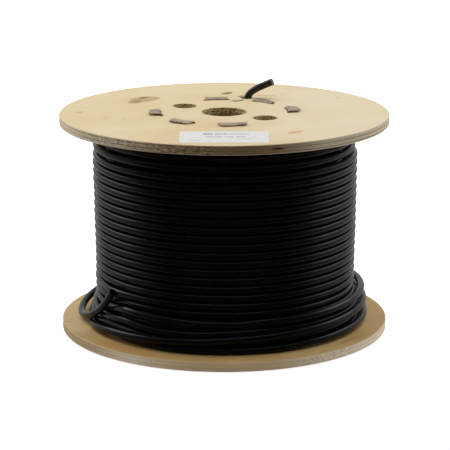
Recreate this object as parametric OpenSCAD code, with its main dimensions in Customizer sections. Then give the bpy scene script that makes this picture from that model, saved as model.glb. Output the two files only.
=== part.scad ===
// Wooden cable drum standing on one flange, wound with black cable.
// Two round plywood flanges sit on a rolled sheet steel barrel. Tabs of the barrel pass
// through slots in the flanges and are bent flat over their outer faces.
// The origin is on the floor, on the drum's axis. The front, with the label, faces -Y.

/* [Flanges] */
// Diameter of both plywood flanges
flange_d = 320; // [290:1:420]
// Thickness of the plywood
flange_t = 9; // [6:0.5:15]
// Clear width between the flanges
traverse = 195; // [140:1:260]
// Sanded break along the rim of a flange
edge_break = 0.5; // [0.2:0.1:1.5]

/* [Holes] */
// Diameter of the spindle bore through both flanges
bore_d = 44; // [20:1:60]
// Diameter of the two drive holes
drive_d = 24; // [12:1:30]
// Room between a drive hole and the inside of the barrel
drive_clear = 0.7; // [0.3:0.1:6]
// Diameter of the hole for the inner cable end
start_d = 13; // [10:0.5:20]
// Distance of that hole's centre outside the barrel
start_out = 14; // [12:0.5:30]
// Direction of that hole, seen from above
start_angle = 73; // [66:1:82]

/* [Barrel] */
// Outer diameter of the rolled barrel
barrel_d = 126; // [112:1:160]
// Thickness of the galvanised sheet
sheet_t = 0.8; // [0.5:0.1:1.5]
// Places for lock tabs around each end, two of them left free beside the drive holes
tab_places = 8; // [8, 10]
// Direction of the first lock tab, seen from above
tab_turn = 7; // [0:1:12]
// Width of a lock tab
tab_w = 25; // [16:1:32]
// Length of a lock tab that lies flat on the flange
tab_lie = 9.5; // [6:0.5:14]
// Radius of a lock tab's free corners
tab_corner_r = 3.5; // [1:0.5:5]
// Inner radius of the bend in a lock tab
bend_r = 1; // [0.4:0.1:2]
// Room around a lock tab in its slot
slot_clear = 1; // [0.3:0.1:2]

/* [Cable] */
// Outer diameter of the cable
cable_d = 7; // [5:0.1:9]
// Room between neighbouring turns
turn_gap = 1; // [0.2:0.1:2]
// Diameter over the full layers of the winding
wind_d = 257; // [220:1:270]
// Room between the winding and the barrel
wind_fit = 0.2; // [0.1:0.1:1]
// Room between the winding and the upper flange
head_room = 2; // [1:0.5:6]
// How far the uppermost turn lies below the others
head_dip = 3; // [0:0.5:3.5]
// How far the loose layers press into each other
bed = 0.5; // [0.2:0.1:1]
// Turns in the first loose layer at the foot of the winding
foot_turns = 4; // [2:1:8]
// Loose layers at the foot of the winding
foot_layers = 2; // [1:1:3]
// Direction in which the loose layers start, on the left of the front
foot_from = 216; // [200:1:230]
// Direction in which they end at the back, counted on past the front and the right side
foot_to = 510; // [480:1:510]

/* [Label] */
// Width of the paper label
label_w = 82; // [40:1:100]
// Height of the paper label, from the rim towards the bore
label_h = 51; // [30:1:60]
// Thickness of the label
label_t = 0.2; // [0.1:0.05:0.5]
// Corner radius of the label
label_r = 2; // [1:0.5:6]
// Distance of the label from the flange's front rim
label_in = 13; // [10:1:40]

/* [Hidden] */
$fn = 96;

// heights, from the floor up
foot_z = sheet_t;
inner_lo_z = foot_z + flange_t;
inner_hi_z = inner_lo_z + traverse;
face_z = inner_hi_z + flange_t;
mid_z = (foot_z + face_z) / 2;

flange_r = flange_d / 2;
barrel_r = barrel_d / 2;
barrel_in_r = barrel_r - sheet_t;
drive_r = barrel_in_r - drive_clear - drive_d / 2;
start_r = barrel_r + start_out;
start_at = start_r * [cos(start_angle), sin(start_angle)];

// lock tabs and drive holes share one ring of evenly spaced places
tab_step = 360 / tab_places;
drive_places = [3, 3 + tab_places / 2];
tab_angles = [
    for (k = [0 : tab_places - 1])
        if (len(search(k, drive_places)) == 0) tab_turn + k * tab_step
];
drive_angles = [for (k = drive_places) tab_turn + k * tab_step];
tab_reach_r = barrel_r + bend_r + tab_lie;
slot_in_r = barrel_in_r - slot_clear;
slot_out_r = barrel_r + bend_r + slot_clear;

// turns of the outer full layer, and how far each loose layer nests above the one below
cable_r = cable_d / 2;
wind_lo_z = inner_lo_z;
wind_hi_z = inner_hi_z - head_room;
turns = floor((wind_hi_z - wind_lo_z) / (cable_d + turn_gap));
pitch = (wind_hi_z - wind_lo_z) / turns;
turn_r = wind_d / 2 - cable_r;
nest_rise = sqrt(cable_d * cable_d - pitch * pitch / 4) - bed;
foot_r = turn_r + foot_layers * nest_rise;
// height of the top turn in loose layer m: each layer lies half a pitch lower
function foot_top_z(m) = wind_lo_z + (foot_turns - (m - 1) / 2) * pitch;

// sides of a swept cable end
end_sides = 10;
// how far a cut reaches past the faces that it goes through
cut_over = 1;

// route of the inner end, from the middle of its hole at the flange's outer face
inner_route = [
    [0.6, 0, -flange_t - head_room], [0.6, 0, -4.5], [0.9, 0, 0], [1.9, -0.2, 2.6], [3.8, -0.6, 5.2],
    [6.3, -1.2, 7.4], [9.2, -2, 9.3], [12.9, -3, 11.4], [16.8, -4, 13.3], [21, -5.3, 15.4], [25.7, -7, 17.6]
];
// route of the outer end, straight out of the last loose turn but one, round the left side
// and up to a turn that holds it
outer_from = [foot_r * cos(foot_to), foot_r * sin(foot_to), foot_top_z(foot_layers) - 2 * pitch];
outer_route = [
    outer_from, outer_from + 6 * [-sin(foot_to), cos(foot_to), 0],
    [-126.2, 55, 21.2], [-131, 44.5, 20.4], [-135.6, 32, 19.2], [-139.2, 18, 17.8], [-140.9, 4, 16.4],
    [-140.6, -10, 15.4], [-137.8, -23, 16], [-133.4, -35, 18.6], [-127.8, -46, 23], [-122, -55.5, 28.9],
    [-117, -63.7, 35.4], [-112.8, -70.4, 42.4], [-109, -75.8, 49.4], [-106.2, -79.6, 54.8]
];

function unit(v) = v / norm(v);
function heading(p, i) = unit(p[min(i + 1, len(p) - 1)] - p[max(i - 1, 0)]);
function side(d) = unit(cross(d, abs(d.z) < 0.9 ? [0, 0, 1] : [0, 1, 0]));
// a side vector carried along the route, so that the tube doesn't twist
function carried(p, i) = i == 0 ? side(heading(p, 0)) :
    let (s = carried(p, i - 1), d = heading(p, i)) unit(s - d * (s * d));

// round cable along a list of points
module cable_along(p) {
    ring = [for (i = [0 : len(p) - 1]) let (d = heading(p, i), s = carried(p, i), w = cross(d, s))
        for (k = [0 : end_sides - 1]) let (a = k * 360 / end_sides)
            p[i] + cable_r * (s * cos(a) + w * sin(a))];
    last = len(ring) - end_sides;
    walls = [for (i = [0 : len(p) - 2]) for (k = [0 : end_sides - 1])
        let (a = i * end_sides + k, b = i * end_sides + (k + 1) % end_sides)
        [b, a, a + end_sides, b + end_sides]];
    near_cap = [for (k = [0 : end_sides - 1]) k];
    far_cap = [for (k = [end_sides - 1 : -1 : 0]) last + k];
    polyhedron(ring, concat([near_cap], walls, [far_cap]));
}

// half section of a plywood disc with its broken rim
module disc_section() {
    polygon([
        [0, 0], [flange_r - edge_break, 0], [flange_r, edge_break],
        [flange_r, flange_t - edge_break], [flange_r - edge_break, flange_t], [0, flange_t]
    ]);
}

// slot for one lock tab: a stretch of ring with straight ends
module tab_slot() {
    intersection() {
        difference() {
            circle(slot_out_r);
            circle(slot_in_r);
        }
        translate([0, -tab_w / 2 - slot_clear]) square([slot_out_r + cut_over, tab_w + 2 * slot_clear]);
    }
}

// plywood disc with the holes and slots that both flanges have
module flange() {
    difference() {
        rotate_extrude($fn = 180) disc_section();
        translate([0, 0, -cut_over]) {
            cylinder(h = flange_t + 2 * cut_over, d = bore_d);
            for (a = drive_angles)
                rotate(a) translate([drive_r, 0]) cylinder(h = flange_t + 2 * cut_over, d = drive_d);
            linear_extrude(flange_t + 2 * cut_over)
                for (a = tab_angles)
                    rotate(a) tab_slot();
        }
    }
}

module top_flange() {
    color("burlywood")
        difference() {
            translate([0, 0, inner_hi_z]) flange();
            translate([start_at.x, start_at.y, inner_hi_z - cut_over])
                cylinder(h = flange_t + 2 * cut_over, d = start_d);
        }
}

module bottom_flange() {
    color("burlywood")
        translate([0, 0, foot_z]) flange();
}

// half section of the sheet at one end: round the bend and out along the flange's face
module turned_end() {
    translate([barrel_r + bend_r, face_z - bend_r])
        intersection() {
            difference() {
                circle(bend_r + sheet_t);
                circle(bend_r);
            }
            translate([-bend_r - sheet_t, 0]) square(bend_r + sheet_t);
        }
    translate([barrel_r + bend_r, face_z]) square([tab_lie, sheet_t]);
}

// half section of the rolled sheet, with both ends turned out
module sheet_section() {
    translate([barrel_in_r, foot_z + bend_r]) square([sheet_t, face_z - foot_z - 2 * bend_r]);
    turned_end();
    translate([0, 2 * mid_z]) mirror([0, 1]) turned_end();
}

// plan of a lock tab, with its two free corners rounded
module tab_plan() {
    root_x = slot_in_r;
    corner_x = tab_reach_r - tab_corner_r;
    translate([root_x, -tab_w / 2]) square([corner_x - root_x, tab_w]);
    translate([root_x, -tab_w / 2 + tab_corner_r]) square([tab_reach_r - root_x, tab_w - 2 * tab_corner_r]);
    for (s = [-1, 1])
        translate([corner_x, s * (tab_w / 2 - tab_corner_r)]) circle(tab_corner_r);
}

// between the flanges the sheet is whole, and beyond their inner faces only the tabs are left
module barrel() {
    color("silver")
        intersection() {
            rotate_extrude($fn = 180) sheet_section();
            union() {
                translate([0, 0, inner_lo_z]) cylinder(h = traverse, r = slot_out_r);
                translate([0, 0, -cut_over])
                    linear_extrude(face_z + sheet_t + 2 * cut_over)
                        for (a = tab_angles)
                            rotate(a) tab_plan();
            }
        }
}

// half section of the full layers: a solid core whose outer layer shows its turns
module winding_section() {
    in_r = barrel_r + wind_fit;
    translate([in_r, wind_lo_z]) square([turn_r - head_dip - in_r, wind_hi_z - wind_lo_z]);
    translate([in_r, wind_lo_z]) square([turn_r - in_r, wind_hi_z - wind_lo_z - pitch]);
    for (i = [0 : turns - 1])
        translate([turn_r - (i == turns - 1 ? head_dip : 0), wind_lo_z + (i + 0.5) * pitch]) circle(cable_r);
}

// half section of the loose layers at the foot: a solid core up to the middle of each layer's top
// turn, bedded against the layer below, whose outer layer shows its turns
module foot_section() {
    core_at = [turn_r - cable_r, wind_lo_z + pitch / 4];
    for (m = [1 : foot_layers]) {
        height = foot_top_z(m) - core_at.y;
        translate(core_at) square([cable_r + m * nest_rise, height]);
        translate(core_at) square([cable_r + (m - 0.5) * nest_rise, height + pitch / 4]);
        translate([turn_r + m * nest_rise, foot_top_z(m)]) circle(cable_r);
    }
    for (z = [foot_top_z(foot_layers) - pitch : -pitch : wind_lo_z + cable_r])
        translate([foot_r, z]) circle(cable_r);
}

module cable_winding() {
    color([0.06, 0.06, 0.07])
        union() {
            rotate_extrude($fn = 180) winding_section();
            rotate(foot_from) rotate_extrude(angle = foot_to - foot_from, $fn = 180) foot_section();
        }
}

module cable_inner_end() {
    color([0.06, 0.06, 0.07])
        translate([start_at.x, start_at.y, face_z]) cable_along(inner_route);
}

module cable_outer_end() {
    color([0.06, 0.06, 0.07])
        cable_along(outer_route);
}

module paper_label() {
    color("white")
        translate([-label_w / 2, -flange_r + label_in, face_z]) linear_extrude(label_t) {
            translate([label_r, 0]) square([label_w - 2 * label_r, label_h]);
            translate([0, label_r]) square([label_w, label_h - 2 * label_r]);
            for (x = [label_r, label_w - label_r])
                for (y = [label_r, label_h - label_r])
                    translate([x, y]) circle(label_r);
        }
}

top_flange();
bottom_flange();
barrel();
cable_winding();
cable_inner_end();
cable_outer_end();
paper_label();
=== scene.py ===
import math
import random

import bmesh
import bpy
import numpy as np
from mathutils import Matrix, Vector


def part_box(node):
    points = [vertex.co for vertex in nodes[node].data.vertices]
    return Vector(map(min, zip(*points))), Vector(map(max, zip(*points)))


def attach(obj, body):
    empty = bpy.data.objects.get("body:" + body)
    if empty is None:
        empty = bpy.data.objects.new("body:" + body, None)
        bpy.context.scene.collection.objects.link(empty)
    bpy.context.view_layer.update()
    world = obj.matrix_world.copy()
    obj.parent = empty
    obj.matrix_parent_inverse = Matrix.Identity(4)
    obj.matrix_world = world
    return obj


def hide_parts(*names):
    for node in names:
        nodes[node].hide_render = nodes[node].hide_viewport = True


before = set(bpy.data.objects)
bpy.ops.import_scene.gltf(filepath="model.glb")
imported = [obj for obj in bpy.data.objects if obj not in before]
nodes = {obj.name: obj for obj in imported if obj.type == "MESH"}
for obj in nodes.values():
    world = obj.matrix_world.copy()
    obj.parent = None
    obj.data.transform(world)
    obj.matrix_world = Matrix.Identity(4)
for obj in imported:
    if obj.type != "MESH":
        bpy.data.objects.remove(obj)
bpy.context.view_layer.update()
mm = 0.001   # sizes in the dictionaries are in mm, apart from the camera's and the studio's, which are in m


# camera: the photo's view, fitted to the rims of both flanges
view = dict(distance=2.0616, elevation=14.11, lens=167.76, sensor=36, aim=(0.00074, -0.0017, 0.1009))


def makeCamera():
    lift = math.radians(view["elevation"])
    cam = bpy.data.objects.new("photo_camera", bpy.data.cameras.new("photo_camera"))
    cam.data.lens = view["lens"]
    cam.data.sensor_width = view["sensor"]
    aim = Vector(view["aim"])
    cam.location = aim + view["distance"] * Vector((0, -math.cos(lift), math.sin(lift)))
    cam.rotation_euler = (aim - cam.location).to_track_quat("-Z", "Y").to_euler()
    bpy.context.scene.collection.objects.link(cam)
    bpy.context.scene.camera = cam


makeCamera()
print("camera set")


# sRGB hex to the linear colour that a node's input takes
def linear(hexColour):
    parts = [int(hexColour[i:i + 2], 16) / 255 for i in (1, 3, 5)]
    parts = [c / 12.92 if c <= 0.04045 else ((c + 0.055) / 1.055) ** 2.4 for c in parts]
    return (*parts, 1.0)


# values are a node's constant inputs, links its joined ones, from a socket or from a node's first output in use
def setInputs(tree, node, values, links):
    for name, value in values.items():
        node.inputs[name].default_value = value
    for name, source in links.items():
        if isinstance(source, bpy.types.Node):
            source = next(out for out in source.outputs if out.enabled)
        tree.links.new(source, node.inputs[name])


# settings are the node's own properties; a colour Mix takes its two colours at inputs 6 and 7
def addNode(tree, kind, values={}, links={}, **settings):
    node = tree.nodes.new("ShaderNode" + kind)
    for name, value in settings.items():
        setattr(node, name, value)
    setInputs(tree, node, values, links)
    return node


def newMaterial(name):
    mat = bpy.data.materials.new(name)
    mat.use_nodes = True
    tree = mat.node_tree
    return mat, tree, tree.nodes["Principled BSDF"]


def addPiece(name, verts, faces, material, smooth=True):
    mesh = bpy.data.meshes.new(name)
    mesh.from_pydata([tuple(v) for v in verts], [], faces)
    mesh.polygons.foreach_set("use_smooth", [smooth and len(f) < 5 for f in faces])   # the ends of a tube stay flat
    mesh.materials.append(material)
    mesh.update()
    piece = bpy.data.objects.new(name, mesh)
    bpy.context.scene.collection.objects.link(piece)
    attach(piece, "root")
    return piece


# turns all faces outwards, and shades every edge under this angle as a curve
def tidyNormals(piece, smoothAngle):
    shape = bmesh.new()
    shape.from_mesh(piece.data)
    bmesh.ops.recalc_face_normals(shape, faces=shape.faces)
    shape.to_mesh(piece.data)
    shape.free()
    piece.data.shade_smooth()
    piece.data.set_sharp_from_angle(angle=math.radians(smoothAngle))


def dressNode(name, material):
    mesh = nodes[name].data
    mesh.materials.clear()
    mesh.materials.append(material)


# extruded polyethylene jacket: black and satin, with soft scuffs. Its IOR is under the usual 1.5,
# because the cable mirrors little, and its grit is finer in life, drawn as coarse as shows
jacket = dict(colour="#0B0B0C", ior=1.25, roughness=0.2, smoother=0.07, rougher=0.09,
              scuff="#141416", scuffSize=9, scuffFrom=0.52, scuffTo=0.8,
              gritSize=0.8, gritDepth=0.03, gritStrength=0.5)
# the end that stands in the light: a lighter, browner copy of the jacket as painted light, with a broad soft shine
litEndJacket = dict(jacket, colour="#16110D", scuff="#241D17", roughness=0.36, ior=1.45)


def makeJacket(name, look):
    mat, tree, shader = newMaterial(name)
    place = addNode(tree, "TexCoord").outputs["Object"]
    scuffs = addNode(tree, "TexNoise", {"Scale": 1 / (look["scuffSize"] * mm), "Detail": 4, "Roughness": 0.6},
                     {"Vector": place})
    grit = addNode(tree, "TexNoise", {"Scale": 1 / (look["gritSize"] * mm), "Detail": 2}, {"Vector": place})
    worn = addNode(tree, "MapRange", {"From Min": look["scuffFrom"], "From Max": look["scuffTo"]}, {"Value": scuffs})
    colour = addNode(tree, "Mix", {6: linear(look["colour"]), 7: linear(look["scuff"])}, {0: worn},
                     data_type="RGBA")
    rough = addNode(tree, "MapRange", {"To Min": look["roughness"] - look["smoother"],
                                       "To Max": look["roughness"] + look["rougher"]}, {"Value": scuffs})
    bump = addNode(tree, "Bump", {"Strength": look["gritStrength"], "Distance": look["gritDepth"] * mm},
                   {"Height": grit})
    setInputs(tree, shader, {"IOR": look["ior"]}, {"Base Color": colour, "Roughness": rough, "Normal": bump})
    return mat


jacketMat = makeJacket("polyethylene_extruded_black", jacket)
litEndMat = makeJacket("polyethylene_extruded_lit_end", litEndJacket)


# cable ends: the inner one stands up out of its hole, the outer one is tucked under a turn
cableEnds = dict(
    radius=3.5, bevelSteps=5, curveSteps=6,
    holeAt=(22.513, 73.635), faceZ=213.8,   # middle of the start hole on the upper flange
    innerRoute=[                            # from there
        (0.6, 0, -11), (0.6, 0, -4.5), (0.9, 0, 0), (1.9, -0.2, 2.6), (3.8, -0.6, 5.2), (6.3, -1.2, 7.4),
        (9.2, -2, 9.3), (12.9, -3, 11.4), (16.8, -4, 13.3), (21, -5.3, 15.4), (25.7, -7, 17.6)],
    outerRoute=[
        (-117.31, 67.73, 21.86), (-120.31, 62.53, 21.86), (-126.2, 55, 21.2), (-131, 44.5, 20.4),
        (-135.6, 32, 19.2), (-139.2, 18, 17.8), (-140.9, 4, 16.4), (-140.6, -10, 15.4), (-137.8, -23, 16),
        (-133.4, -35, 18.6), (-127.8, -46, 23), (-122, -55.5, 28.9), (-117, -63.7, 35.4), (-112.8, -70.4, 42.4),
        (-109, -75.8, 49.4), (-106.2, -79.6, 54.8)],
)


def makeCord(name, route, material):
    curve = bpy.data.curves.new(name, "CURVE")
    curve.dimensions = "3D"
    curve.bevel_depth = cableEnds["radius"] * mm
    curve.bevel_resolution = cableEnds["bevelSteps"]
    curve.resolution_u = cableEnds["curveSteps"]
    curve.use_fill_caps = True
    spline = curve.splines.new("BEZIER")
    spline.bezier_points.add(len(route) - 1)
    for point, at in zip(spline.bezier_points, route):
        point.co = at
        point.handle_left_type = point.handle_right_type = "AUTO"
    curve.materials.append(material)
    piece = bpy.data.objects.new(name, curve)
    bpy.context.scene.collection.objects.link(piece)
    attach(piece, "root")
    length = sum((b - a).length for a, b in zip(route, route[1:]))
    return piece, length


def makeCableEnds():
    hole = Vector((*cableEnds["holeAt"], cableEnds["faceZ"]))
    inner = [(hole + Vector(p)) * mm for p in cableEnds["innerRoute"]]
    outer = [Vector(p) * mm for p in cableEnds["outerRoute"]]
    stub, stubLength = makeCord("cable_stub", inner, litEndMat)
    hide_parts("cable_inner_end")
    face = makeCutFace(inner[-1], (inner[-1] - inner[-2]).normalized())
    loop, loopLength = makeCord("cable_tucked_end", outer, jacketMat)
    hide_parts("cable_outer_end")
    print(f"cable ends {stubLength:.4f} and {loopLength:.4f} m")


# knife-cut end of the cable: jacket rim, pale insulation, copper core
cutFace = dict(
    steps=[(3.5, 0.02), (2.9, 0.1), (2.75, 0.0), (1.0, 0.04), (0.85, 0.25), (0.0, 0.3)],   # radius, how far out
    layers=(0, 1, 1, 2, 2), sides=24,       # between the steps: 0 jacket, 1 insulation, 2 copper
    insulation="#8E8487", insulationDark="#4E474A", smear=1.1, insulationRoughness=0.55,
    copper="#7A4B34", copperDark="#4A2D20", copperGrain=0.5, copperMetallic=0.8, copperRoughness=0.4,
)


# cut polyethylene: matt grey, smeared by the blade
def makeInsulation():
    mat, tree, shader = newMaterial("polyethylene_insulation_knife_cut")
    place = addNode(tree, "TexCoord").outputs["Object"]
    smear = addNode(tree, "TexNoise", {"Scale": 1 / (cutFace["smear"] * mm), "Detail": 3}, {"Vector": place})
    colour = addNode(tree, "Mix", {6: linear(cutFace["insulationDark"]), 7: linear(cutFace["insulation"])},
                     {0: smear}, data_type="RGBA")
    setInputs(tree, shader, {"Roughness": cutFace["insulationRoughness"]}, {"Base Color": colour})
    return mat


# cut copper: dull and brown, tarnished in spots
def makeCopper():
    mat, tree, shader = newMaterial("copper_cut")
    tarnish = addNode(tree, "TexNoise", {"Scale": 1 / (cutFace["copperGrain"] * mm)})
    colour = addNode(tree, "Mix", {6: linear(cutFace["copperDark"]), 7: linear(cutFace["copper"])},
                     {0: tarnish}, data_type="RGBA")
    setInputs(tree, shader, {"Metallic": cutFace["copperMetallic"], "Roughness": cutFace["copperRoughness"]},
              {"Base Color": colour})
    return mat


def makeCutFace(tip, along):
    side = along.cross(Vector((0, 0, 1))).normalized()
    up = along.cross(side)
    steps, sides = cutFace["steps"], cutFace["sides"]
    verts, faces = [], []
    for radius, proud in steps[:-1]:
        for k in range(sides):
            a = 2 * math.pi * k / sides
            verts.append(tip + (along * proud + (side * math.cos(a) + up * math.sin(a)) * radius) * mm)
    verts.append(tip + along * steps[-1][1] * mm)
    last = len(steps) - 2
    for i in range(last):
        for k in range(sides):
            n = (k + 1) % sides
            faces.append((i * sides + k, i * sides + n, (i + 1) * sides + n, (i + 1) * sides + k))
    faces += [(last * sides + k, last * sides + (k + 1) % sides, len(verts) - 1) for k in range(sides)]
    face = addPiece("cable_cut_face", verts, faces, litEndMat, smooth=False)
    face.data.materials.append(makeInsulation())
    face.data.materials.append(makeCopper())
    for p in face.data.polygons:
        p.material_index = cutFace["layers"][p.index // sides]
    return face


makeCableEnds()


# wound cable: 20 level turns, then five loose ones at the foot, which lead into the tucked end
winding = dict(
    cableRadius=3.65, sides=16, stepsPerTurn=150,
    topZ=198.9, pitch=8.11, levelTurns=20,
    turnStart=180, firstStart=70,           # the first turn comes out from under the flange at the back
    startDip=8, startDipTo=120, startDipOver=50,                # and lies deeper there
    dropFrom=380, dropTo=520,               # a turn lies level round the front and drops a pitch at the back
    radiusByZ=[(40, 124), (64, 123.9), (76, 124), (88, 124.2), (100, 124.6), (125, 124.9), (161, 125.4),
               (205, 125.6)],
    lean=0.9,                               # the turns stand out a little further on the right
    headLift=[(0, 1.4), (970, 1.4), (1050, 0.2), (1120, 0)],    # the first turns, by degrees run from the start
    headDip=[(0, 2.6), (840, 2.6), (910, 0.2), (1000, 0.4), (1050, 2.8), (1120, 2.4), (1240, 0)],
    tuckTurn=18, tuckAt=214, tuckWidth=9, tuckOut=3,            # the turn that holds the tucked end bulges over it
    coreRadius=118.6, barrelGap=63.4, coreLow=10.2, coreHigh=202.6, coreSides=120,
    wobble=0.35, riseShare=0.6, seed=7,
    endSamples=3, endRadius=3.25,           # the last turn sinks into the start of the tucked end
)
# loose turns, each as (direction in degrees, radius mm, height mm) from the left side round the front
looseTurns = [
    [(180, 123.2, 36.7), (200, 123.6, 35.4), (212, 124.8, 36), (219, 128.5, 38.8), (225, 131, 40.2),
     (236, 131.4, 39.6), (247, 131.2, 38.7), (259, 131.2, 37.6), (269, 131.2, 37.5), (276, 131.2, 37.2),
     (286, 131.8, 38.8), (305, 133.2, 38.7), (327, 134.5, 40), (345, 134.8, 41), (360, 134.9, 41.4),
     (400, 134, 40), (450, 132, 36), (500, 127, 30)],
    [(180, 126.3, 26.4), (190, 126.7, 25.4), (200, 127.1, 25.2), (207, 128.4, 26.2), (212, 130, 27.6),
     (217, 131.3, 28.9), (225, 131.6, 30.2), (235, 132, 28), (246, 132.4, 26.8), (262, 132.4, 27.5),
     (269, 132.2, 28.6), (276, 132, 29.2), (300, 131, 30), (360, 130.4, 30), (420, 130.3, 29), (490, 127, 24)],
    [(180, 128.6, 19.4), (199, 129, 19.2), (210, 129.3, 20.7), (220, 129.9, 21.3), (228, 130.2, 20.6),
     (236, 130.2, 20.1), (250, 130.2, 20), (300, 130.2, 20), (360, 130.2, 20.4), (430, 130, 20.4),
     (500, 126.5, 17)],
    [(180, 124.5, 14.2), (200, 125.5, 13.4), (215, 127.5, 13.4), (225, 131, 13.4), (235, 133, 13.4),
     (246, 136, 13.4), (262, 136.3, 13.4), (283, 136.6, 13.4), (293, 137.4, 13.6), (310, 138, 15.1),
     (330, 138, 15.7), (360, 137.8, 16.6), (400, 137.5, 16.4), (440, 136.5, 15), (480, 133, 13.8),
     (520, 130.6, 13.4)],
    [(180, 130.8, 13.4), (188, 131.6, 13.4), (195, 133, 13.4), (201, 135.4, 13.8), (208, 137, 15.2),
     (220, 137.4, 17.7), (230, 137.6, 18.7), (242, 138, 20), (257, 138.2, 21.9), (269, 138.2, 23.8),
     (276, 138, 24.8), (286, 137.6, 25.6), (304, 137, 27), (321, 137, 28.1), (345, 137, 29.2),
     (360, 136.9, 29.8), (410, 136.6, 28.2), (460, 136.2, 25), (495, 135.7, 22.6), (510, 135.46, 21.86),
     (512.54, 135.59, 21.86)],
]
# turns that lie under the loose ones: height, radius, and the directions between which they show
underTurns = [(13.6, 123, 228, 490), (21.5, 123, 228, 490), (29.5, 123, 228, 490), (38.3, 127, 292, 440),
              (13.4, 130.6, 272, 470)]
underDive = dict(depth=7, slope=14)   # how deep their ends go down, and over how many degrees


def eased(x):
    x = min(max(x, 0), 1)
    return x * x * (3 - 2 * x)


def alongTable(table, x):
    xs, ys = zip(*table)
    return float(np.interp(x, xs, ys))


# smooth curve through (direction, radius, height) points, one sample every few degrees
def smoothRoute(knots, step):
    points = []
    for i in range(len(knots) - 1):
        p = [np.array(knots[min(max(i + j, 0), len(knots) - 1)], float) for j in (-1, 0, 1, 2)]
        span = p[2][0] - p[1][0]
        slopeIn = (p[2] - p[0]) / max(p[2][0] - p[0][0], 1e-6) * span
        slopeOut = (p[3] - p[1]) / max(p[3][0] - p[1][0], 1e-6) * span
        count = max(2, round(span / step))
        for t in np.arange(count) / count:
            h = (2 * t**3 - 3 * t**2 + 1, t**3 - 2 * t**2 + t, 3 * t**2 - 2 * t**3, t**3 - t**2)
            points.append(h[0] * p[1] + h[1] * slopeIn + h[2] * p[2] + h[3] * slopeOut)
    points.append(np.array(knots[-1], float))
    return points


def fromDirection(point):
    turn = math.radians(point[0])
    return np.array((point[1] * math.cos(turn), point[1] * math.sin(turn), point[2])) * mm


# round cable along points that run round the drum's axis
def addTube(verts, faces, points, radius, sides):
    points = np.array(points)
    radii = np.broadcast_to(radius, len(points))
    ahead = np.gradient(points, axis=0)
    ahead /= np.linalg.norm(ahead, axis=1)[:, None]
    out = points * (1, 1, 0)
    out -= ahead * (out * ahead).sum(1)[:, None]
    out /= np.linalg.norm(out, axis=1)[:, None]
    up = np.cross(ahead, out)
    first = len(verts)
    for p, o, u, r in zip(points, out, up, radii):
        for k in range(sides):
            a = 2 * math.pi * k / sides
            verts.append(p + r * (o * math.cos(a) + u * math.sin(a)))
    for i in range(len(points) - 1):
        for k in range(sides):
            n = (k + 1) % sides
            a, b = first + i * sides, first + (i + 1) * sides
            faces.append((a + k, a + n, b + n, b + k))
    faces.append(tuple(first + k for k in reversed(range(sides))))
    faces.append(tuple(first + (len(points) - 1) * sides + k for k in range(sides)))


# section of (radius, height) corners turned once round the axis
def addRing(verts, faces, section, around):
    first, count = len(verts), len(section)
    verts += [fromDirection((360 * k / around, r, z)) for k in range(around) for r, z in section]
    for k in range(around):
        a, b = first + count * k, first + count * ((k + 1) % around)
        faces += [(a + i, b + i, b + (i + 1) % count, a + (i + 1) % count) for i in range(count)]


def levelTurns():
    step = 360 / winding["stepsPerTurn"]
    rng = random.Random(winding["seed"])
    count = winding["levelTurns"]
    waves = [(rng.uniform(0, 360), rng.uniform(-1, 1), rng.uniform(0, 360), rng.uniform(-1, 1))
             for _ in range(count + 1)]
    points = []
    for k in range(count):
        start = winding["turnStart"] if k else winding["firstStart"]
        for turn in np.arange(start, winding["turnStart"] + 360, step):
            run = turn + 360 * k
            drop = eased((turn - winding["dropFrom"]) / (winding["dropTo"] - winding["dropFrom"]))
            dip = winding["startDip"] * eased((winding["startDipTo"] - run) / winding["startDipOver"])
            z = winding["topZ"] - winding["pitch"] * (k + drop)
            radius = alongTable(winding["radiusByZ"], z) + winding["lean"] * math.cos(math.radians(turn))
            radius -= alongTable(winding["headDip"], run) + dip
            z += alongTable(winding["headLift"], run)
            if k == winding["tuckTurn"]:
                radius += winding["tuckOut"] * math.exp(-((turn - winding["tuckAt"]) / winding["tuckWidth"]) ** 2)
            share = eased((turn - winding["turnStart"]) / 360)   # the sway of one turn runs over into the next
            sway = rise = 0
            for wave, part in ((waves[k], 1 - share), (waves[k + 1], share)):
                sway += part * wave[1] * math.sin(math.radians(turn + wave[0]))
                rise += part * wave[3] * math.sin(math.radians(2 * turn + wave[2]))
            points.append((run, radius + winding["wobble"] * sway,
                           z + winding["riseShare"] * winding["wobble"] * rise))
    return points


def makeWinding():
    verts, faces = [], []
    radius = winding["cableRadius"] * mm
    step = 360 / winding["stepsPerTurn"]
    route = levelTurns()
    for k, knots in enumerate(looseTurns):
        first = 360 * (winding["levelTurns"] + k)
        onward = [(a + 360, r, z) for a, r, z in looseTurns[k + 1][:1]] if k + 1 < len(looseTurns) else []
        smooth = smoothRoute([(a + first, r, z) for a, r, z in knots + onward], step)
        route += smooth[:-1] if onward else smooth
    radii = np.full(len(route), radius)
    count = winding["endSamples"]
    radii[-count:] = np.linspace(radius, winding["endRadius"] * mm, count)
    addTube(verts, faces, [fromDirection(p) for p in route], radii, winding["sides"])
    deep, slope = underDive["depth"], underDive["slope"]
    for z, out, low, high in underTurns:
        knots = [(low - slope, out - deep, z), (low, out, z), ((low + high) / 2, out, z), (high, out, z),
                 (high + slope, out - deep, z)]
        addTube(verts, faces, [fromDirection(p) for p in smoothRoute(knots, step)], radius, winding["sides"])
    section = [(winding["barrelGap"], winding["coreLow"]), (winding["coreRadius"], winding["coreLow"]),
               (winding["coreRadius"], winding["coreHigh"]), (winding["barrelGap"], winding["coreHigh"])]
    addRing(verts, faces, section, winding["coreSides"])
    piece = addPiece("wound_cable", verts, faces, jacketMat)
    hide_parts("cable_winding")
    print(f"wound cable {len(faces)} faces")


makeWinding()


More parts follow.
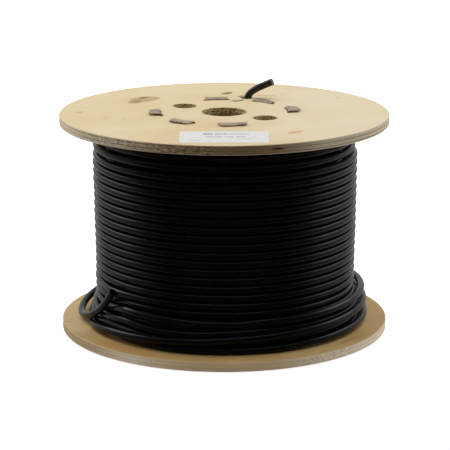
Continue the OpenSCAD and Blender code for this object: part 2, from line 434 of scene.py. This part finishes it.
# birch plywood: sanded rotary-cut veneer on the faces, pale and matt with soft streaks along the grain,
# and sawn plies on the rim and in the holes, light and dark by turns with brown glue between
plywood = dict(
    # both flanges are one birch plywood: the lower one's darker, warmer face colours are painted shade, and the paler
    # dark plies of its rim are painted light
    upper=dict(light="#E8D5AE", warm="#E2C99C", streak="#CFB588", streakShare=0.15, rimLight="#F8EDDA",
               rimDark="#CDB48E", front="#B9A58B", left="#FFFFFF", frontGlueAndShade=0.95, sideGlue=0.35,
               tornAt=-75, tornWide=95, tornLight="#E9D49E", tornDark="#5C4524"),
    lower=dict(light="#DDBB80", warm="#D0A868", streak="#BC8F55", streakShare=0.4, rimLight="#F6E6D0",
               rimDark="#E4D2B4", front="#EADDC8", left="#C6BAA4", frontGlueAndShade=0.2, sideGlue=0.12,
               tornAt=98, tornWide=30, tornLight="#F6E6D0", tornDark="#A08666"),
    grainTurn=54, ior=1.4, specular=0.3, rimRoughness=0.85, faceRoughness=0.62, reliefStrength=0.7,
    rimBelow=0.55, faceAbove=0.8,                               # by how far the normal points up or down
    patch=70, patchFrom=0.35, patchTo=0.7,
    streakLength=160, streakWidth=5, streakFrom=0.5, streakTo=0.85,
    fibreLength=22, fibreWidth=0.9, fibreDepth=0.06,            # finer in life, drawn as coarse as shows
    fibreFrom=0.3, fibreTo=0.7, fibreDark=0.975, fibreLight=1.02,
    markOuter=0.7, markInner=0.5, markWander=2.4, markDepth=1e5,   # a mark goes through the whole sheet
    plies=5, thickness=9, plyWave=45, plyWander=0.5, plyBlur=0.1, longGrain=0.12, endGrain=0.9,
    sawMark=1.4, sawDepth=0.25, sawShare=0.7,
    glue="#4F3A26", glueFade=0.1, glueLine=0.02, glueSide=-0.2, glueFront=-0.8,
    # painted shade on the rims, set by the way they face
    rimShadeByFacing=[("front", "Y", -0.8, -1), ("left", "X", -0.5, -0.85)],   # tint, and where the normal brings it in
    tornLength=3.4, tornHeight=0.65, tornFade=0.6, tornSide=-0.4, tornFront=-0.7,
    tornFlecks=[("tornLight", 0.52, 0.66), ("tornDark", 0.47, 0.34)],
    # the hole walls are painted pale, as painted light
    holesWithin=100, holeLight="#FFEDBA", holeDark="#F2C373",
    # dark specks in the holes and painted shade deep in them share one colour and strength; the shade runs between the
    # heights below
    speckShadeColour="#5E3A12", holeFleck=(2.6, 2.6, 1.3), speckShadeShare=0.85, speckFrom=0.52, speckTo=0.61,
    unshadedAbove=2.2, shadedBelow=0.2,                             # in plies from the lowest one
)
# marks on the faces: middle, length and width in mm, direction, colour, how strong and how ragged.
# Most are knots and stains; a few are painted light or shade. The first one makes the right part of the face paler
upperMarks = [
    dict(at=(190, 0), size=(500, 700), turn=0, colour="#EBE4CE", strength=0.34, ragged=0.1),
    dict(at=(-80, 66), size=(57, 41), turn=53, colour="#BCA072", strength=0.85, ragged=0.12),
    dict(at=(-89, 52), size=(32, 19), turn=60, colour="#94774A", strength=0.7, ragged=0.4),
    dict(at=(-81, 73), size=(20, 10), turn=40, colour="#5F4A2C", strength=0.85, ragged=0.4),
    dict(at=(66, -99), size=(36, 13), turn=50, colour="#D0985F", strength=0.6, ragged=0.3),
    dict(at=(3, 98), size=(22, 11), turn=48, colour="#5E4C2A", strength=0.9, ragged=0.4),
    dict(at=(13, 58), size=(26, 13), turn=25, colour="#967C30", strength=0.9, ragged=0.4),
    dict(at=(17, 82), size=(14, 7), turn=42, colour="#3B2D18", strength=0.9, ragged=0.3),
    # painted shadow of the cable stub
    dict(at=(42, 86), size=(44, 9), turn=4, colour="#C2A877", strength=0.6, ragged=0.3),
    dict(at=(114, 74), size=(12, 4), turn=54, colour="#B79C6C", strength=0.4, ragged=0.8),
    dict(at=(-141, -3), size=(14, 10), turn=54, colour="#C99C74", strength=0.6, ragged=0.5),
    dict(at=(-113, -30), size=(26, 3), turn=60, colour="#C2A678", strength=0.5, ragged=0.5),
    dict(at=(-96, -34), size=(22, 3), turn=80, colour="#BFA274", strength=0.5, ragged=0.5),
]
lowerMarks = [
    # painted light on the left of the lower face
    dict(at=(-146, -10), size=(60, 190), turn=8, colour="#F4DBA8", strength=0.55, ragged=0.2),
    # painted shade on the lower face in front of the winding's foot
    dict(at=(-91, -116), size=(110, 26), turn=-42, colour="#D0924C", strength=0.45, ragged=0.4),
    dict(at=(-155, -28), size=(13, 4), turn=3, colour="#7E6238", strength=0.55, ragged=0.5),
    dict(at=(120, -88), size=(70, 9), turn=50, colour="#A97E45", strength=0.4, ragged=0.7),
]
# open joint in the upper rim's middle ply, drawn as a dark patch of painted shade: middle and size in mm
plyGapShade = dict(at=(48.5, -152.4, 209.6), size=(13, 14, 1.4), colour="#1A120A", fadeFrom=1.1, fadeTo=0.8)


# pale patches, long soft streaks and short fibres, all along the grain, then the marks
def veneerColour(tree, place, grain, tints, marks):
    patches = addNode(tree, "TexNoise", {"Scale": 1 / plywood["patch"], "Detail": 2}, {"Vector": grain})
    drawn = addNode(tree, "VectorMath", {1: (plywood["streakLength"], plywood["streakWidth"], plywood["streakWidth"])},
                    {0: grain}, operation="DIVIDE")
    streaks = addNode(tree, "TexNoise", {"Scale": 1, "Detail": 5, "Roughness": 0.55, "Distortion": 0.6},
                      {"Vector": drawn})
    drawn = addNode(tree, "VectorMath", {1: (plywood["fibreLength"], plywood["fibreWidth"], plywood["fibreWidth"])},
                    {0: grain}, operation="DIVIDE")
    fibres = addNode(tree, "TexNoise", {"Scale": 1, "Detail": 3, "Roughness": 0.6}, {"Vector": drawn})
    warm = addNode(tree, "MapRange", {"From Min": plywood["patchFrom"], "From Max": plywood["patchTo"]},
                   {"Value": patches})
    face = addNode(tree, "Mix", {6: linear(tints["light"]), 7: linear(tints["warm"])}, {0: warm}, data_type="RGBA")
    streaked = addNode(tree, "MapRange", {"From Min": plywood["streakFrom"], "From Max": plywood["streakTo"],
                                          "To Max": tints["streakShare"]}, {"Value": streaks})
    face = addNode(tree, "Mix", {7: linear(tints["streak"])}, {0: streaked, 6: face}, data_type="RGBA")
    fine = addNode(tree, "MapRange", {"From Min": plywood["fibreFrom"], "From Max": plywood["fibreTo"],
                                      "To Min": plywood["fibreDark"], "To Max": plywood["fibreLight"]},
                   {"Value": fibres})
    face = addNode(tree, "VectorMath", {}, {0: face, "Scale": fine}, operation="SCALE")
    # some marks are painted shadows or painted light, not knots or stains
    for mark in marks:   # knots and stains as ragged ellipses
        wander = plywood["markWander"] * mark["ragged"]
        half = (mark["size"][0] / 2, mark["size"][1] / 2, plywood["markDepth"])
        off = addNode(tree, "VectorMath", {1: (*mark["at"], 0)}, {0: place}, operation="SUBTRACT")
        off = addNode(tree, "VectorRotate", {"Angle": -math.radians(mark["turn"])}, {"Vector": off},
                      rotation_type="Z_AXIS")
        off = addNode(tree, "VectorMath", {1: half}, {0: off}, operation="DIVIDE")
        off = addNode(tree, "VectorMath", {}, {0: off}, operation="LENGTH")
        off = addNode(tree, "Math", {1: wander}, {0: streaks, 2: off}, operation="MULTIPLY_ADD")
        inside = addNode(tree, "MapRange", {"From Min": plywood["markOuter"] + wander / 2,
                                            "From Max": plywood["markInner"] + wander / 2,
                                            "To Max": mark["strength"]}, {"Value": off},
                         interpolation_type="SMOOTHSTEP")
        face = addNode(tree, "Mix", {7: linear(mark["colour"])}, {0: inside, 6: face}, data_type="RGBA")
    return face, fibres


def sawnColour(tree, place, normal, facing, lowZ, tints):
    axes = addNode(tree, "SeparateXYZ", {}, {0: place})
    ahead = addNode(tree, "SeparateXYZ", {}, {0: normal})
    # height in plies, which lie a little wavy
    wavy = addNode(tree, "TexNoise", {"Scale": 1 / plywood["plyWave"], "Detail": 3}, {"Vector": place})
    height = addNode(tree, "MapRange", {"From Min": lowZ / mm, "From Max": lowZ / mm + plywood["thickness"],
                                        "To Max": plywood["plies"]}, {"Value": axes.outputs["Z"]}, clamp=False)
    height = addNode(tree, "Math", {1: plywood["plyWander"]}, {0: wavy, 2: height}, operation="MULTIPLY_ADD")
    height = addNode(tree, "Math", {1: plywood["plyWander"] / 2}, {0: height}, operation="SUBTRACT")
    # the grain turns from one ply to the next, so end grain shows darker by turns
    odd = addNode(tree, "Math", {1: 1}, {0: height}, operation="PINGPONG")
    odd = addNode(tree, "MapRange", {"From Min": 0.5 - plywood["plyBlur"], "From Max": 0.5 + plywood["plyBlur"]},
                  {"Value": odd}, interpolation_type="SMOOTHSTEP")
    tone = addNode(tree, "Math", {}, {0: facing.outputs["X"], 1: facing.outputs["X"]}, operation="MULTIPLY")
    tone = addNode(tree, "Math", {}, {0: tone, 1: odd}, operation="SUBTRACT")
    tone = addNode(tree, "Math", {}, {0: tone}, operation="ABSOLUTE")
    tone = addNode(tree, "MapRange", {"To Min": plywood["longGrain"], "To Max": plywood["endGrain"]}, {"Value": tone})
    sawn = addNode(tree, "TexNoise", {"Scale": 1 / plywood["sawMark"], "Detail": 4, "Roughness": 0.65},
                   {"Vector": place})
    tone = addNode(tree, "Math", {1: plywood["sawShare"]}, {0: sawn, 2: tone}, operation="MULTIPLY_ADD")
    tone = addNode(tree, "Math", {1: plywood["sawShare"] / 2}, {0: tone}, operation="SUBTRACT", use_clamp=True)
    # the walls of the holes are yellower than the rim, and painted paler as painted light
    outward = addNode(tree, "VectorMath", {1: (1, 1, 0)}, {0: place}, operation="MULTIPLY")
    outward = addNode(tree, "VectorMath", {}, {0: outward}, operation="LENGTH")
    inHole = addNode(tree, "Math", {1: plywood["holesWithin"]}, {0: outward}, operation="LESS_THAN")
    onRim = addNode(tree, "Math", {0: 1}, {1: inHole}, operation="SUBTRACT")
    pale, deep = (addNode(tree, "Mix", {6: linear(tints["rim" + side]), 7: linear(plywood["hole" + side])},
                          {0: inHole}, data_type="RGBA") for side in ("Light", "Dark"))
    rim = addNode(tree, "Mix", {}, {0: tone, 6: pale, 7: deep}, data_type="RGBA")
    # glue lines between the plies, with painted shade making them darkest at the front
    glue = addNode(tree, "Math", {}, {0: height}, operation="FRACT")
    glue = addNode(tree, "Math", {1: 0.5}, {0: glue}, operation="PINGPONG")
    gluey = addNode(tree, "MapRange", {"From Min": plywood["glueSide"], "From Max": plywood["glueFront"],
                                       "To Min": tints["sideGlue"], "To Max": tints["frontGlueAndShade"]},
                    {"Value": ahead.outputs["Y"]})
    glue = addNode(tree, "MapRange", {"From Min": plywood["glueFade"], "From Max": plywood["glueLine"]},
                   {"Value": glue, "To Max": gluey})
    rim = addNode(tree, "Mix", {7: linear(plywood["glue"])}, {0: glue, 6: rim}, data_type="RGBA")
    # painted shade: each rim is darker where it faces the front, and the lower one also where it faces left
    for tint, axis, start, end in plywood["rimShadeByFacing"]:
        share = addNode(tree, "MapRange", {"From Min": start, "From Max": end}, {"Value": ahead.outputs[axis]},
                        interpolation_type="SMOOTHSTEP")
        share = addNode(tree, "Math", {}, {0: share, 1: onRim}, operation="MULTIPLY")
        rim = addNode(tree, "Mix", {7: linear(tints[tint])}, {0: share, 6: rim}, data_type="RGBA",
                      blend_type="MULTIPLY")
    # at the front the saw tore the fibres
    torn = addNode(tree, "VectorMath", {1: (plywood["tornLength"], plywood["tornLength"], plywood["tornHeight"])},
                   {0: place}, operation="DIVIDE")
    torn = addNode(tree, "TexNoise", {"Scale": 1, "Detail": 3, "Roughness": 0.6}, {"Vector": torn})
    where = addNode(tree, "Math", {1: tints["tornAt"]}, {0: axes.outputs["X"]}, operation="SUBTRACT")
    where = addNode(tree, "Math", {}, {0: where}, operation="ABSOLUTE")
    where = addNode(tree, "MapRange", {"From Min": tints["tornWide"],
                                       "From Max": plywood["tornFade"] * tints["tornWide"]}, {"Value": where},
                    interpolation_type="SMOOTHSTEP")
    front = addNode(tree, "MapRange", {"From Min": plywood["tornSide"], "From Max": plywood["tornFront"]},
                    {"Value": ahead.outputs["Y"]})
    for share in (onRim, front):
        where = addNode(tree, "Math", {}, {0: where, 1: share}, operation="MULTIPLY")
    for tint, start, end in plywood["tornFlecks"]:
        fleck = addNode(tree, "MapRange", {"From Min": start, "From Max": end}, {"Value": torn, "To Max": where})
        rim = addNode(tree, "Mix", {7: linear(tints[tint])}, {0: fleck, 6: rim}, data_type="RGBA")
    gap = addNode(tree, "VectorMath", {1: plyGapShade["at"]}, {0: place}, operation="SUBTRACT")
    gap = addNode(tree, "VectorMath", {1: [d / 2 for d in plyGapShade["size"]]}, {0: gap}, operation="DIVIDE")
    gap = addNode(tree, "VectorMath", {}, {0: gap}, operation="LENGTH")
    gap = addNode(tree, "MapRange", {"From Min": plyGapShade["fadeFrom"], "From Max": plyGapShade["fadeTo"]}, {"Value": gap})
    rim = addNode(tree, "Mix", {7: linear(plyGapShade["colour"])}, {0: gap, 6: rim}, data_type="RGBA")
    # the holes are flecked, and painted shade darkens them deep down
    speckAndShade = addNode(tree, "Math", {1: plywood["speckShadeShare"]}, {0: inHole}, operation="MULTIPLY")
    grit = addNode(tree, "VectorMath", {1: plywood["holeFleck"]}, {0: place}, operation="DIVIDE")
    grit = addNode(tree, "TexNoise", {"Scale": 1, "Detail": 2, "Roughness": 0.6}, {"Vector": grit})
    speck = addNode(tree, "MapRange", {"From Min": plywood["speckFrom"], "From Max": plywood["speckTo"]},
                    {"Value": grit, "To Max": speckAndShade})
    deepShade = addNode(tree, "MapRange", {"From Min": plywood["unshadedAbove"], "From Max": plywood["shadedBelow"]},
                     {"Value": height, "To Max": speckAndShade})
    for share in (speck, deepShade):
        rim = addNode(tree, "Mix", {7: linear(plywood["speckShadeColour"])}, {0: share, 6: rim}, data_type="RGBA")
    return rim, sawn


def makePlywood(name, lowZ, tints, marks):
    mat, tree, shader = newMaterial(name)
    coord = addNode(tree, "TexCoord")
    place = addNode(tree, "VectorMath", {"Scale": 1 / mm}, {0: coord.outputs["Object"]}, operation="SCALE")
    normal = coord.outputs["Normal"]
    grain, facing = (addNode(tree, "VectorRotate", {"Angle": -math.radians(plywood["grainTurn"])},
                             {"Vector": source}, rotation_type="Z_AXIS") for source in (place, normal))
    facing = addNode(tree, "SeparateXYZ", {}, {0: facing})
    face, fibres = veneerColour(tree, place, grain, tints, marks)
    rim, sawn = sawnColour(tree, place, normal, facing, lowZ, tints)
    isFace = addNode(tree, "Math", {}, {0: facing.outputs["Z"]}, operation="ABSOLUTE")
    isFace = addNode(tree, "MapRange", {"From Min": plywood["rimBelow"], "From Max": plywood["faceAbove"]},
                     {"Value": isFace})
    colour = addNode(tree, "Mix", {}, {0: isFace, 6: rim, 7: face}, data_type="RGBA")
    rough = addNode(tree, "MapRange", {"To Min": plywood["rimRoughness"], "To Max": plywood["faceRoughness"]},
                    {"Value": isFace})
    relief = addNode(tree, "Mix", {}, {0: isFace, 2: sawn, 3: fibres}, data_type="FLOAT")
    depth = addNode(tree, "MapRange", {"To Min": plywood["sawDepth"] * mm, "To Max": plywood["fibreDepth"] * mm},
                    {"Value": isFace})
    bump = addNode(tree, "Bump", {"Strength": plywood["reliefStrength"]}, {"Height": relief, "Distance": depth})
    setInputs(tree, shader, {"IOR": plywood["ior"], "Specular IOR Level": plywood["specular"]},
              {"Base Color": colour, "Roughness": rough, "Normal": bump})
    return mat


for flange, side, marks in (("top_flange", "upper", upperMarks), ("bottom_flange", "lower", lowerMarks)):
    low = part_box(flange)[0]
    dressNode(flange, makePlywood("birch_plywood_sanded_" + side, low.z, plywood[side], marks))
print("plywood done")


# rolled barrel with its lock tabs, which were hammered over by hand and don't lie quite flat
barrel = dict(
    inside=62.2, sheet=0.8, around=120, wall=(9.8, 204.8), face=(0.8, 213.8), smoothAngle=40,
    bend=1, corner=3.5, across=12, tail=12,             # each tab has a tail down inside the wall
    bendSteps=(0, 22, 45, 68, 90), reachSteps=(0.25, 0.5, 0.75, 0.9, 1), curl=1.5,
    edgeWave=5, edgeWander=0.7, edgeLift=0.25,          # hammered edges wander a little
)
# for each tab: direction, width, reach past the bend, height at its root and at both free corners, bow between them
upperTabs = [
    dict(turn=7, width=24, reach=9.5, root=1.3, rise=(1.5, 1.0), bow=0.4),
    dict(turn=52, width=24, reach=6.5, root=0.9, rise=(-0.2, 1.0), bow=0.5),
    dict(turn=97, width=23, reach=7.5, root=0.8, rise=(1.2, 1.6), bow=-1.3),
    dict(turn=187, width=24, reach=9.5, root=1.4, rise=(0.9, 1.4), bow=0.2),
    dict(turn=232, width=25, reach=9, root=1.4, rise=(0.9, 0.6), bow=0.3),
    dict(turn=277, width=27, reach=9, root=1.3, rise=(0.6, 1.7), bow=-0.5),
]
lowerTabs = [dict(turn=t["turn"], width=25, reach=9.5, root=0, rise=(0, 0), bow=0) for t in upperTabs]


def addTab(verts, faces, tab, up):
    half, mid = tab["width"] / 2, barrel["inside"] + barrel["sheet"] / 2
    bend = barrel["bend"] + barrel["sheet"] / 2
    turn = math.radians(tab["turn"])
    first, last = len(verts), barrel["across"]
    rows = 2 + len(barrel["bendSteps"]) + len(barrel["reachSteps"])   # two for the tail
    for i in range(last + 1):
        share = i / last
        y = (2 * share - 1) * half
        inCorner = max(0, (abs(y) - half + barrel["corner"]) / barrel["corner"])
        uneven = math.sin(barrel["edgeWave"] * share + 2 * tab["turn"]) if up else 0
        reach = tab["reach"] + barrel["edgeWander"] * uneven
        reach -= barrel["corner"] * (1 - math.sqrt(1 - min(inCorner, 1) ** 2))
        free = tab["rise"][0] * (1 - share) + tab["rise"][1] * share + tab["bow"] * math.sin(math.pi * share)
        free += barrel["edgeLift"] * uneven
        path = [(mid, -barrel["tail"]), (mid, -barrel["bend"])]
        path += [(mid + bend - bend * math.cos(a), tab["root"] - barrel["bend"] + bend * math.sin(a))
                 for a in np.radians(barrel["bendSteps"])]
        path += [(mid + bend + reach * d, path[-1][1] + (free - tab["root"]) * d ** barrel["curl"])
                 for d in barrel["reachSteps"]]
        path = np.array(path)
        along = np.gradient(path, axis=0)
        along /= np.linalg.norm(along, axis=1)[:, None]
        for (r, z), (dr, dz) in zip(path, along):
            for offset in (-barrel["sheet"] / 2, barrel["sheet"] / 2):
                rr, zz = r - dz * offset, z + dr * offset
                x = math.sqrt(rr * rr - y * y)
                height = barrel["face"][1] + zz if up else barrel["face"][0] - zz
                verts.append(np.array((x * math.cos(turn) - y * math.sin(turn),
                                       x * math.sin(turn) + y * math.cos(turn), height)) * mm)

    def at(i, j, layer):
        return first + (i * rows + j) * 2 + layer

    faces += [(at(i, j, k), at(i + 1, j, k), at(i + 1, j + 1, k), at(i, j + 1, k))
              for i in range(last) for j in range(rows - 1) for k in (0, 1)]
    faces += [(at(i, j, 0), at(i, j, 1), at(i, j + 1, 1), at(i, j + 1, 0)) for i in (0, last) for j in range(rows - 1)]
    faces += [(at(i, j, 0), at(i, j, 1), at(i + 1, j, 1), at(i + 1, j, 0)) for i in range(last) for j in (0, rows - 1)]


def makeBarrel():
    verts, faces = [], []
    for tabs, up in ((upperTabs, True), (lowerTabs, False)):
        for tab in tabs:
            addTab(verts, faces, tab, up)
    inside, outside = barrel["inside"], barrel["inside"] + barrel["sheet"]
    low, high = barrel["wall"]
    addRing(verts, faces, [(inside, low), (outside, low), (outside, high), (inside, high)], barrel["around"])
    piece = addPiece("steel_barrel", verts, faces, makeZinc(), smooth=False)
    tidyNormals(piece, barrel["smoothAngle"])
    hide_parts("barrel")


# galvanised sheet: dull zinc with soft spangle and a few rubbed spots where the tabs were hammered
zinc = dict(light="#B9A892", dark="#8C7D6A", spangle=7, rub="#C7B7A2", rubSize=4, rubFrom=0.55, rubTo=0.75,
            dentDepth=0.1, dentStrength=0.4, metallic=0.85, roughness=0.5, smoother=0.1, rougher=0.15)


def makeZinc():
    mat, tree, shader = newMaterial("galvanised_sheet_steel_rolled")
    place = addNode(tree, "TexCoord").outputs["Object"]
    spangle = addNode(tree, "TexVoronoi", {"Scale": 1 / (zinc["spangle"] * mm), "Randomness": 1}, {"Vector": place})
    grey = addNode(tree, "SeparateColor", {}, {0: spangle.outputs["Color"]})
    rubbed = addNode(tree, "TexNoise", {"Scale": 1 / (zinc["rubSize"] * mm), "Detail": 4}, {"Vector": place})
    base = addNode(tree, "Mix", {6: linear(zinc["dark"]), 7: linear(zinc["light"])}, {0: grey.outputs[0]},
                   data_type="RGBA")
    spots = addNode(tree, "MapRange", {"From Min": zinc["rubFrom"], "From Max": zinc["rubTo"]}, {"Value": rubbed})
    colour = addNode(tree, "Mix", {7: linear(zinc["rub"])}, {0: spots, 6: base}, data_type="RGBA")
    rough = addNode(tree, "MapRange", {"To Min": zinc["roughness"] - zinc["smoother"],
                                       "To Max": zinc["roughness"] + zinc["rougher"]}, {"Value": grey.outputs[1]})
    bump = addNode(tree, "Bump", {"Strength": zinc["dentStrength"], "Distance": zinc["dentDepth"] * mm},
                   {"Height": rubbed})
    setInputs(tree, shader, {"Metallic": zinc["metallic"]},
              {"Base Color": colour, "Roughness": rough, "Normal": bump})
    return mat


makeBarrel()
print("barrel done")


# coated label paper: smooth matt white, printed with plain broken bars
label = dict(paper="#EEECEA", shade="#E4E2E0", fibre=6, fibreDepth=0.05, fibreStrength=0.2, roughness=0.45,
             ink="#3E3E46", grain=0.9, grainFrom=0.35, grainTo=0.6, barEdge=0.02)   # the grain breaks up the bars
# bars as shares of the label's width and height, from its far left corner: left, right, far, near, how dark
labelBars = [(0.26, 0.37, 0.16, 0.31, 0.9), (0.39, 0.53, 0.17, 0.30, 0.7), (0.55, 0.78, 0.18, 0.29, 0.55),
             (0.29, 0.48, 0.43, 0.54, 0.6), (0.50, 0.61, 0.43, 0.54, 0.6), (0.63, 0.74, 0.43, 0.54, 0.55),
             (0.12, 0.23, 0.76, 0.82, 0.45), (0.10, 0.20, 0.36, 0.41, 0.12), (0.62, 0.80, 0.66, 0.73, 0.3),
             (0.77, 0.88, 0.52, 0.58, 0.3)]


def makeLabelPaper():
    mat, tree, shader = newMaterial("label_paper_coated")
    low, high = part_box("paper_label")
    place = addNode(tree, "TexCoord").outputs["Object"]
    fibre = addNode(tree, "TexNoise", {"Scale": 1 / (label["fibre"] * mm), "Detail": 5}, {"Vector": place})
    colour = addNode(tree, "Mix", {6: linear(label["paper"]), 7: linear(label["shade"])}, {0: fibre},
                     data_type="RGBA")
    grain = addNode(tree, "TexNoise", {"Scale": 1 / (label["grain"] * mm), "Detail": 1}, {"Vector": place})
    grain = addNode(tree, "MapRange", {"From Min": label["grainFrom"], "From Max": label["grainTo"]},
                    {"Value": grain})
    wide, deep = high.x - low.x, high.y - low.y
    for left, right, far, near, strength in labelBars:
        middle = (low.x + wide * (left + right) / 2, high.y - deep * (far + near) / 2, high.z)
        half = (wide * (right - left) / 2, deep * (near - far) / 2, 1)
        off = addNode(tree, "VectorMath", {1: middle}, {0: place}, operation="SUBTRACT")
        off = addNode(tree, "VectorMath", {1: half}, {0: off}, operation="DIVIDE")
        off = addNode(tree, "VectorMath", {}, {0: off}, operation="ABSOLUTE")
        axes = addNode(tree, "SeparateXYZ", {}, {0: off})
        most = addNode(tree, "Math", {}, {0: axes.outputs["X"], 1: axes.outputs["Y"]}, operation="MAXIMUM")
        bar = addNode(tree, "MapRange", {"From Min": 1 + label["barEdge"], "From Max": 1 - label["barEdge"],
                                         "To Max": strength}, {"Value": most})
        ink = addNode(tree, "Math", {}, {0: bar, 1: grain}, operation="MULTIPLY")
        colour = addNode(tree, "Mix", {7: linear(label["ink"])}, {0: ink, 6: colour}, data_type="RGBA")
    bump = addNode(tree, "Bump", {"Strength": label["fibreStrength"], "Distance": label["fibreDepth"] * mm},
                   {"Height": fibre})
    setInputs(tree, shader, {"Roughness": label["roughness"]}, {"Base Color": colour, "Normal": bump})
    return mat


dressNode("paper_label", makeLabelPaper())
print("label done")


# studio: white floor and backdrop, a wide soft light overhead, bright sides, dark room behind the camera
studio = dict(
    white="#FFFFFF", floorSize=30, floor="#F4F4F3", darkFloor="#3F3F3F", floorRoughness=0.9,
    tableRadius=0.29, tableFade=0.1,        # the white table reaches a little way round the drum and on to the back
    tableFront=-0.08, frontFade=0.12,
    mirrored=0.6,                           # the cable mirrors this share of the table's white
    glowNear=0.35, glowFar=0.9, glowLeast=0.75, roomGlow=0.97,
    back=0.7, front=0.03, worldFade=0.6,    # the room's light behind the drum and behind the camera
    lampAim=(0, 0, 0.11),
)
studioLamps = [
    dict(name="top_light", at=(0, -0.05, 1.5), size=(1.3, 1.3), power=7.0, mirrored=True),
    dict(name="strip_light", at=(0, -0.92, 1.29), size=(1.1, 0.14), power=0.4, mirrored=True),   # a line on each turn
    dict(name="left_light", at=(-0.9, 0.52, 0.88), size=(0.95, 0.46), power=4.3, mirrored=True),
    dict(name="right_light", at=(0.9, 0.52, 0.88), size=(0.95, 0.46), power=3.0, mirrored=True),
    dict(name="left_fill", at=(-1.45, -0.5, 0.35), size=(0.7, 0.7), power=3.3, mirrored=False),
    dict(name="right_fill", at=(1.45, -0.5, 0.35), size=(0.7, 0.7), power=3.2, mirrored=False),
]


def makeFloor():
    s = studio["floorSize"] / 2
    mesh = bpy.data.meshes.new("floor")
    mesh.from_pydata([(-s, -s, 0), (s, -s, 0), (s, s, 0), (-s, s, 0)], [], [(0, 1, 2, 3)])
    floor = bpy.data.objects.new("floor", mesh)
    bpy.context.scene.collection.objects.link(floor)
    mat, tree, shader = newMaterial("studio_floor_matt_white")
    place = addNode(tree, "TexCoord").outputs["Object"]
    axes = addNode(tree, "SeparateXYZ", {}, {0: place})
    far = addNode(tree, "VectorMath", {}, {0: place}, operation="LENGTH")
    near = addNode(tree, "MapRange", {"From Min": studio["tableRadius"] + studio["tableFade"],
                                      "From Max": studio["tableRadius"]}, {"Value": far},
                   interpolation_type="SMOOTHSTEP")
    behind = addNode(tree, "MapRange", {"From Min": studio["tableFront"] - studio["frontFade"],
                                        "From Max": studio["tableFront"]}, {"Value": axes.outputs["Y"]},
                     interpolation_type="SMOOTHSTEP")
    # the black cable mirrors a dark room in front of it, so the front of the table isn't seen by glossy rays
    seen = addNode(tree, "LightPath")
    glossy = seen.outputs["Is Glossy Ray"]
    near = addNode(tree, "Math", {}, {0: near, 1: glossy}, operation="SUBTRACT", use_clamp=True)
    table = addNode(tree, "Math", {}, {0: near, 1: behind}, operation="MAXIMUM")
    dim = addNode(tree, "MapRange", {"To Min": 1, "To Max": studio["mirrored"]}, {"Value": glossy})
    table = addNode(tree, "Math", {}, {0: table, 1: dim}, operation="MULTIPLY")
    colour = addNode(tree, "Mix", {6: linear(studio["darkFloor"]), 7: linear(studio["floor"])}, {0: table},
                     data_type="RGBA")
    # what the camera sees stays white where the room is dark, and keeps the shadow round the drum
    glow = addNode(tree, "MapRange", {"From Min": studio["glowNear"], "From Max": studio["glowFar"],
                                      "To Min": studio["glowLeast"], "To Max": 1}, {"Value": far},
                   interpolation_type="SMOOTHSTEP")
    room = addNode(tree, "MapRange", {"To Min": studio["roomGlow"], "To Max": studio["glowLeast"]}, {"Value": table})
    glow = addNode(tree, "Math", {}, {0: glow, 1: room}, operation="MAXIMUM")
    glow = addNode(tree, "Math", {}, {0: glow, 1: seen.outputs["Is Camera Ray"]}, operation="MULTIPLY")
    setInputs(tree, shader, {"Roughness": studio["floorRoughness"], "Specular IOR Level": 0,
                             "Emission Color": linear(studio["white"])},
              {"Base Color": colour, "Emission Strength": glow})
    mesh.materials.append(mat)


def addLamps():
    for lamp in studioLamps:
        light = bpy.data.objects.new(lamp["name"], bpy.data.lights.new(lamp["name"], "AREA"))
        light.data.shape = "RECTANGLE"
        light.data.size, light.data.size_y = lamp["size"]
        light.data.energy = lamp["power"]
        light.location = lamp["at"]
        light.visible_glossy = lamp["mirrored"]
        light.rotation_euler = (Vector(studio["lampAim"]) - Vector(lamp["at"])).to_track_quat("-Z", "Y").to_euler()
        bpy.context.scene.collection.objects.link(light)


def makeWorld():
    world = bpy.data.worlds.new("studio")
    bpy.context.scene.world = world
    world.use_nodes = True
    tree = world.node_tree
    tree.nodes.clear()
    white = linear(studio["white"])
    way = addNode(tree, "SeparateXYZ", {}, {0: addNode(tree, "TexCoord").outputs["Generated"]})
    glow = addNode(tree, "MapRange", {"From Min": -studio["worldFade"], "From Max": studio["worldFade"],
                                      "To Min": studio["front"], "To Max": studio["back"]},
                   {"Value": way.outputs["Y"]}, interpolation_type="SMOOTHSTEP")
    light = addNode(tree, "Background", {"Color": white}, {"Strength": glow})
    backdrop = addNode(tree, "Background", {"Color": white, "Strength": 1})
    mixed = addNode(tree, "MixShader", {}, {0: addNode(tree, "LightPath").outputs["Is Camera Ray"],
                                            1: light, 2: backdrop})
    addNode(tree, "OutputWorld", {}, {"Surface": mixed})


makeFloor()
addLamps()
makeWorld()
bpy.context.scene.view_settings.view_transform = "Standard"
print("studio done")
